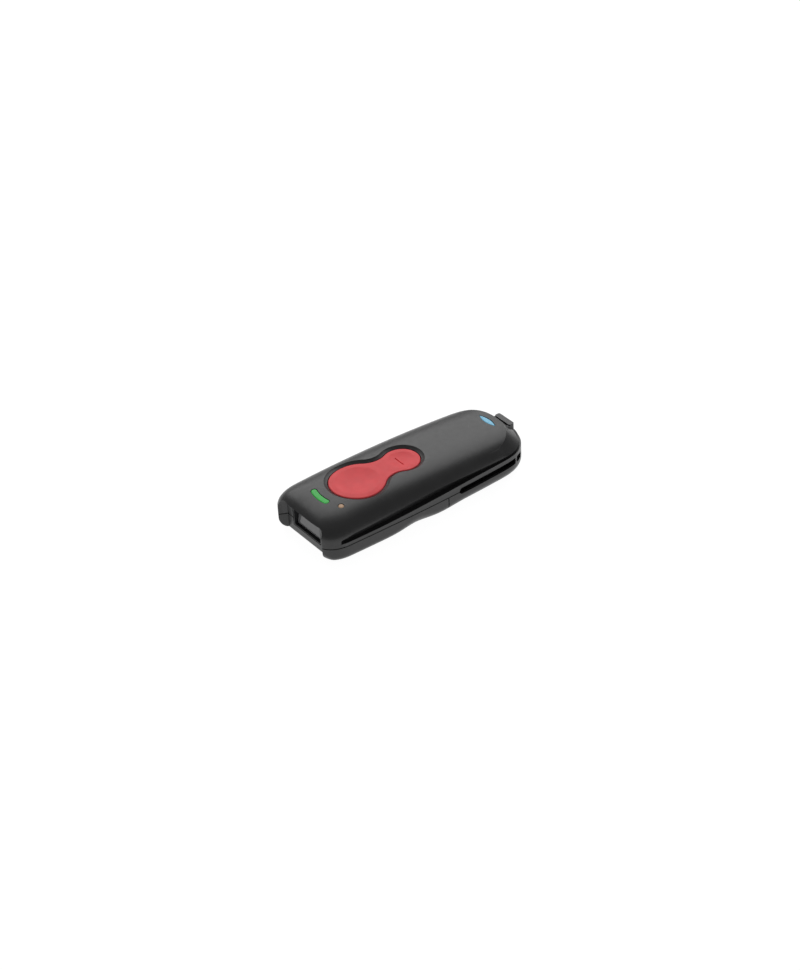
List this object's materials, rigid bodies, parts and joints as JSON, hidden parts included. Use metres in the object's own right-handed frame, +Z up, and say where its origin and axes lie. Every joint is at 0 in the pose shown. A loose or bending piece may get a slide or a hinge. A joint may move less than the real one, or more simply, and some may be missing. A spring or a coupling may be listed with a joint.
{
  "type": "pocket barcode scanner",
  "caption": "Slim pocket-size cordless barcode scanner with a two-pad rocking scan key, slide-off battery door and window recessed between rounded cheeks.",
  "frame": {"origin": "middle of the underside's length and width, on the surface that the scanner rests on", "axes": "+X out of the scan window, +Y to the scanner's left, +Z up out of the key"},
  "size_m": [0.1244, 0.0488, 0.0221],
  "materials": {
    "cover_plastic": "satin moulded black",
    "key_rubber": "soft-touch red",
    "black_trim": "matte black",
    "window_pane": "smoked, glossy",
    "clear_optics": "coated, glossy",
    "green_lens": "frosted translucent",
    "amber_lens": "frosted translucent",
    "blue_lens": "frosted translucent",
    "silicone": "matte",
    "foam": "matte foam",
    "circuit_board": "solder mask",
    "flex_film": "polyimide film",
    "label_stock": "blank printed label stock",
    "cell_wrap": "shrink wrap",
    "led_package": "satin",
    "steel": "brushed",
    "tinned_metal": "satin tinned",
    "gold_contact": "gold flash"
  },
  "bodies": {
    "housing": {"top_cover": "cover_plastic", "bottom_cover": "cover_plastic", "key_pivot_pin": "steel", "key_seal_mat": "silicone", "window_bezel": "black_trim", "scan_window": "window_pane", "window_gasket": "foam", "good_read_light_pipe": "green_lens", "battery_light_pipe": "amber_lens", "radio_light_pipe": "blue_lens", "lanyard_bar": "cover_plastic", "usb_socket": "steel", "cover_screw_1": "steel", "cover_screw_2": "steel", "cover_screw_3": "steel", "cover_screw_4": "steel", "label_plate": "label_stock", "main_board": "circuit_board", "scan_switch": "black_trim", "clear_switch": "black_trim", "indicator_board": "circuit_board", "good_read_led": "led_package", "battery_led": "led_package", "radio_led": "led_package", "radio_shield": "tinned_metal", "processor_chip": "black_trim", "beeper": "black_trim", "vibration_motor": "steel", "imager_body": "black_trim", "imager_lens_barrel": "black_trim", "imager_lens": "clear_optics", "illumination_led_1": "led_package", "illumination_led_2": "led_package", "aimer_lens": "clear_optics", "imager_board": "circuit_board", "imager_flex": "flex_film", "battery_pack": "cell_wrap", "contact_block": "black_trim", "contact_blade_1": "gold_contact", "contact_blade_2": "gold_contact", "contact_blade_3": "gold_contact"},
    "key": {"scan_key": "key_rubber"},
    "door": {"battery_door": "cover_plastic"},
    "weight": {"vibration_weight": "tinned_metal"}
  },
  "joints": [
    {"name": "scan_key_rock", "type": "hinge", "parent": "housing", "child": "key", "pos_m": [0.01066, 0, 0.0181], "axis": [0, 1, 0], "range_deg": [-2, 2], "stiffness_Nm_per_rad": 0.7},
    {"name": "battery_door_slide", "type": "slide", "parent": "housing", "child": "door", "axis": [-1, 0, 0], "range_m": [0, 0.052]},
    {"name": "vibration_weight_spin", "type": "hinge", "parent": "housing", "child": "weight", "pos_m": [-0.0155, 0.008, 0.01165], "axis": [1, 0, 0], "continuous": true}
  ]
}
